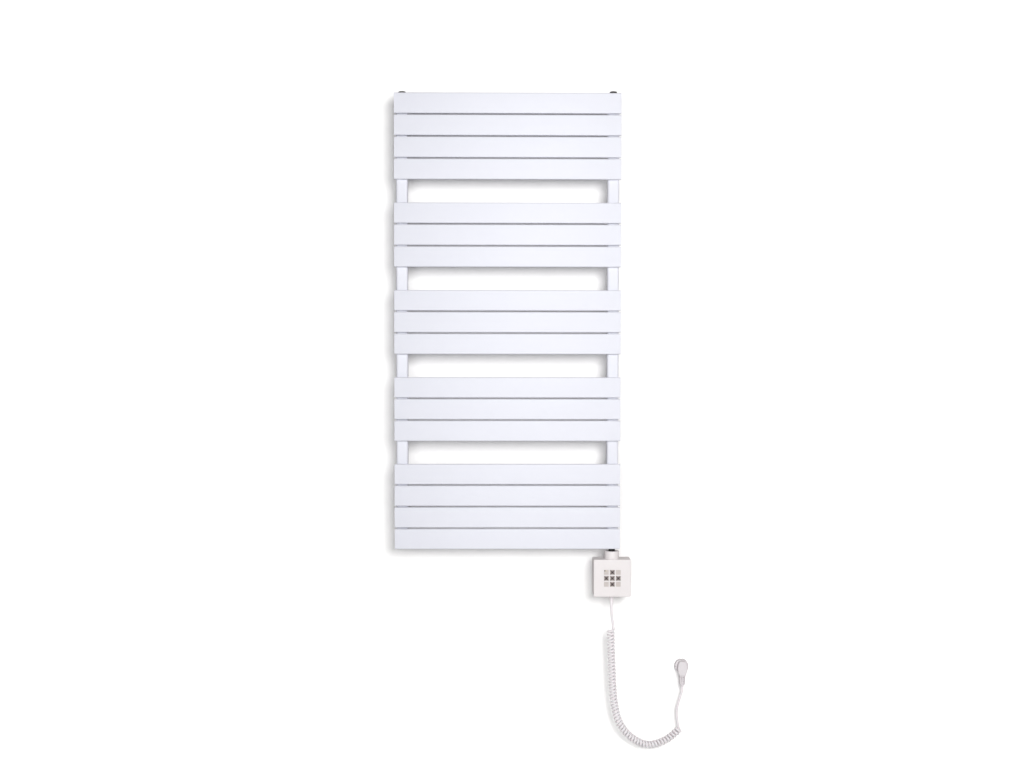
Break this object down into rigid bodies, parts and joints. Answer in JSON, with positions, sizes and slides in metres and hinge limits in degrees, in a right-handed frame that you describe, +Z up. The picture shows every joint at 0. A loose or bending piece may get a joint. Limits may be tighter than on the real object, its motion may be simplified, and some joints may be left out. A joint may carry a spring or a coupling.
{
  "type": "electric heated towel rail",
  "caption": "Wall-hung white ladder of flat slats on two uprights, heated by an element with a square keypad controller and a curly mains lead",
  "frame": {"origin": "middle of the four wall screw holes, on the wall", "axes": "+X to the right, +Y into the wall, +Z up; the slats face -Y"},
  "size_m": [0.7966, 0.1065, 1.7697],
  "materials": {
    "painted": "smooth satin white paint",
    "bracket_paint": "satin white paint",
    "bracket_plastic": "white moulded plastic",
    "steel": "bright zinc plate",
    "plug_chrome": "polished chrome plate",
    "vent_plastic": "white plastic",
    "black_rubber": "smooth black rubber",
    "element_metal": "blackened brass",
    "sheath": "annealed stainless tube",
    "housing_plastic": "fine satin moulded plastic",
    "key_plastic": "soft-touch grey-brown keys",
    "window_plastic": "pale taupe light windows",
    "lens_plastic": "dark infrared lens",
    "board": "green solder mask",
    "component_plastic": "moulded component bodies",
    "switch_plastic": "moulded switch bodies",
    "terminal_plastic": "moulded terminal block",
    "wire_insulation": "wire insulation",
    "cord_rubber": "soft white cable jacket",
    "plug_plastic": "moulded white plug",
    "pin_metal": "nickel-plated brass"
  },
  "bodies": {
    "rail": {"slat_01": "painted", "slat_02": "painted", "slat_03": "painted", "slat_04": "painted", "slat_05": "painted", "slat_06": "painted", "slat_07": "painted", "slat_08": "painted", "slat_09": "painted", "slat_10": "painted", "slat_11": "painted", "slat_12": "painted", "slat_13": "painted", "slat_14": "painted", "slat_15": "painted", "slat_16": "painted", "slat_17": "painted", "slat_end_plates": "painted", "upright_left": "painted", "upright_right": "painted", "upright_caps": "painted", "upright_bosses": "painted", "bracket_bases": "bracket_plastic", "bracket_sleeves": "bracket_paint", "bracket_bolts": "steel", "bracket_grub_screws": "steel", "top_plug": "plug_chrome", "bottom_plug": "plug_chrome", "vent_plug": "plug_chrome", "plug_seals": "black_rubber", "element_plug": "element_metal", "heating_rod": "sheath", "sensor_tube": "sheath", "clamp_nut": "steel", "collar": "housing_plastic", "front_cover": "housing_plastic", "rear_cover": "housing_plastic", "housing_seal": "black_rubber", "housing_screws": "steel", "corner_windows": "window_plastic", "receiver_lens": "lens_plastic", "circuit_board": "board", "board_screws": "steel", "tact_switches": "switch_plastic", "board_components": "component_plastic", "terminal_block": "terminal_plastic", "inner_wires": "wire_insulation", "strain_relief": "cord_rubber", "cord_upper": "cord_rubber", "cord_coil": "cord_rubber", "cord_lower": "cord_rubber", "plug_body": "plug_plastic", "plug_pins": "pin_metal", "plug_earth_clips": "pin_metal"},
    "key_up": {"key_up": "key_plastic"},
    "key_left": {"key_left": "key_plastic"},
    "key_centre": {"key_centre": "key_plastic"},
    "key_right": {"key_right": "key_plastic"},
    "key_down": {"key_down": "key_plastic"},
    "vent_screw": {"vent_screw": "vent_plastic"}
  },
  "joints": [
    {"name": "key_up_press", "type": "slide", "parent": "rail", "child": "key_up", "axis": [0, 1, 0], "range_m": [0, 0.0005], "stiffness_N_per_m": 1500, "springref_m": -0.0006},
    {"name": "key_left_press", "type": "slide", "parent": "rail", "child": "key_left", "axis": [0, 1, 0], "range_m": [0, 0.0005], "stiffness_N_per_m": 1500, "springref_m": -0.0006},
    {"name": "key_centre_press", "type": "slide", "parent": "rail", "child": "key_centre", "axis": [0, 1, 0], "range_m": [0, 0.0005], "stiffness_N_per_m": 1500, "springref_m": -0.0006},
    {"name": "key_right_press", "type": "slide", "parent": "rail", "child": "key_right", "axis": [0, 1, 0], "range_m": [0, 0.0005], "stiffness_N_per_m": 1500, "springref_m": -0.0006},
    {"name": "key_down_press", "type": "slide", "parent": "rail", "child": "key_down", "axis": [0, 1, 0], "range_m": [0, 0.0005], "stiffness_N_per_m": 1500, "springref_m": -0.0006},
    {"name": "vent_screw_turn", "type": "hinge", "parent": "rail", "child": "vent_screw", "pos_m": [-0.2805, -0.0595, 0.612], "axis": [0, 0, 1], "range_deg": [0, 180]}
  ]
}
